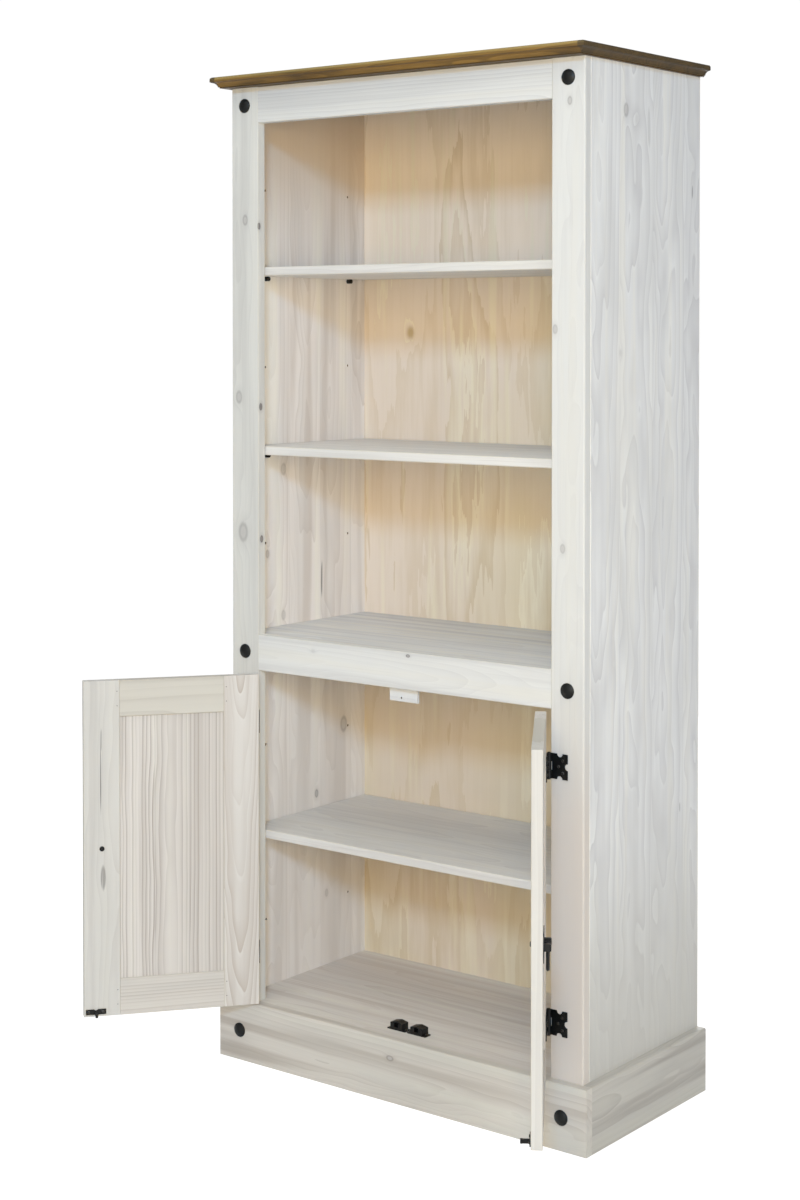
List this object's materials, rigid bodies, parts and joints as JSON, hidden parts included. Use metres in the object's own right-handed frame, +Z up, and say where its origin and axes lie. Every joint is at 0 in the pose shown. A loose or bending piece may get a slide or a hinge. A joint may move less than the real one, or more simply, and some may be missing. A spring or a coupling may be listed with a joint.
{
  "type": "bookcase",
  "caption": "Tall washed pine bookcase: open shelves on pegs over a cupboard with framed doors, stained moulded top, plinth, black surface hinges, drop pulls and domed studs.",
  "frame": {"origin": "on the floor, midway along the front, in the plane of the face frame", "axes": "+X to the right seen from the front, +Y to the back, +Z up"},
  "size_m": [1.0039, 0.6527, 1.8],
  "materials": {
    "washed_pine": "white wash, wiped, satin",
    "stained_pine": "honey-brown stain and wax",
    "pine_ply": "thin white wash, matt",
    "beech": "raw",
    "black_iron": "satin black",
    "black_plastic": "moulded, matt",
    "screw_steel": "zinc plated"
  },
  "bodies": {
    "case": {"back_panel": "pine_ply", "back_panel_nails": "screw_steel", "bottom_panel": "washed_pine", "case_dowels": "beech", "case_hinge_screws": "screw_steel", "catch_screws": "screw_steel", "domed_studs": "black_iron", "door_stop_block": "washed_pine", "door_stop_screws": "screw_steel", "left_case_hinge_leaves": "black_iron", "left_catch": "black_plastic", "left_front_stile": "washed_pine", "left_hinge_pins": "black_iron", "left_side_panel": "washed_pine", "middle_rail": "washed_pine", "middle_shelf": "washed_pine", "plinth_front_board": "washed_pine", "plinth_left_board": "washed_pine", "plinth_rear_rail": "washed_pine", "plinth_right_board": "washed_pine", "plinth_screws": "screw_steel", "right_case_hinge_leaves": "black_iron", "right_catch": "black_plastic", "right_front_stile": "washed_pine", "right_hinge_pins": "black_iron", "right_side_panel": "washed_pine", "shelf_pegs": "black_plastic", "top_board": "stained_pine", "top_rail": "washed_pine"},
    "left_door": {"left_door_bottom_rail": "washed_pine", "left_door_free_stile": "washed_pine", "left_door_hinge_leaves": "black_iron", "left_door_hinge_screws": "screw_steel", "left_door_hinge_stile": "washed_pine", "left_door_joint_pins": "screw_steel", "left_door_panel": "washed_pine", "left_door_pull_bolt": "black_iron", "left_door_pull_plate": "black_iron", "left_door_spear_strike": "black_plastic", "left_door_strike_screws": "screw_steel", "left_door_top_rail": "washed_pine"},
    "right_door": {"right_door_bottom_rail": "washed_pine", "right_door_free_stile": "washed_pine", "right_door_hinge_leaves": "black_iron", "right_door_hinge_screws": "screw_steel", "right_door_hinge_stile": "washed_pine", "right_door_joint_pins": "screw_steel", "right_door_panel": "washed_pine", "right_door_pull_bolt": "black_iron", "right_door_pull_plate": "black_iron", "right_door_spear_strike": "black_plastic", "right_door_strike_screws": "screw_steel", "right_door_top_rail": "washed_pine"},
    "left_pull": {"left_door_pull_bail": "black_iron"},
    "right_pull": {"right_door_pull_bail": "black_iron"},
    "upper_shelf": {"upper_shelf": "washed_pine"},
    "centre_shelf": {"centre_shelf": "washed_pine"},
    "cupboard_shelf": {"cupboard_shelf": "washed_pine"}
  },
  "joints": [
    {"name": "left_door_hinge", "type": "hinge", "parent": "case", "child": "left_door", "pos_m": [-0.319, -0.0044, 0.41375], "axis": [0, 0, -1], "range_deg": [-128, 47]},
    {"name": "right_door_hinge", "type": "hinge", "parent": "case", "child": "right_door", "pos_m": [0.319, -0.0044, 0.41375], "axis": [0, 0, 1], "range_deg": [-123, 52]},
    {"name": "left_pull_swing", "type": "hinge", "parent": "left_door", "child": "left_pull", "pos_m": [-0.49682, -0.22778, 0.41375], "axis": [0.6157, 0.788, 0], "range_deg": [-3, 180]},
    {"name": "right_pull_swing", "type": "hinge", "parent": "right_door", "child": "right_pull", "pos_m": [0.47668, -0.24242, 0.41375], "axis": [0.5446, -0.8387, 0], "range_deg": [-3, 180]},
    {"name": "upper_shelf_lift", "type": "slide", "parent": "case", "child": "upper_shelf", "axis": [0, 0, 1], "range_m": [0, 0.164]},
    {"name": "centre_shelf_lift", "type": "slide", "parent": "case", "child": "centre_shelf", "axis": [0, 0, 1], "range_m": [0, 0.164]},
    {"name": "cupboard_shelf_lift", "type": "slide", "parent": "case", "child": "cupboard_shelf", "axis": [0, 0, 1], "range_m": [0, 0.164]}
  ]
}
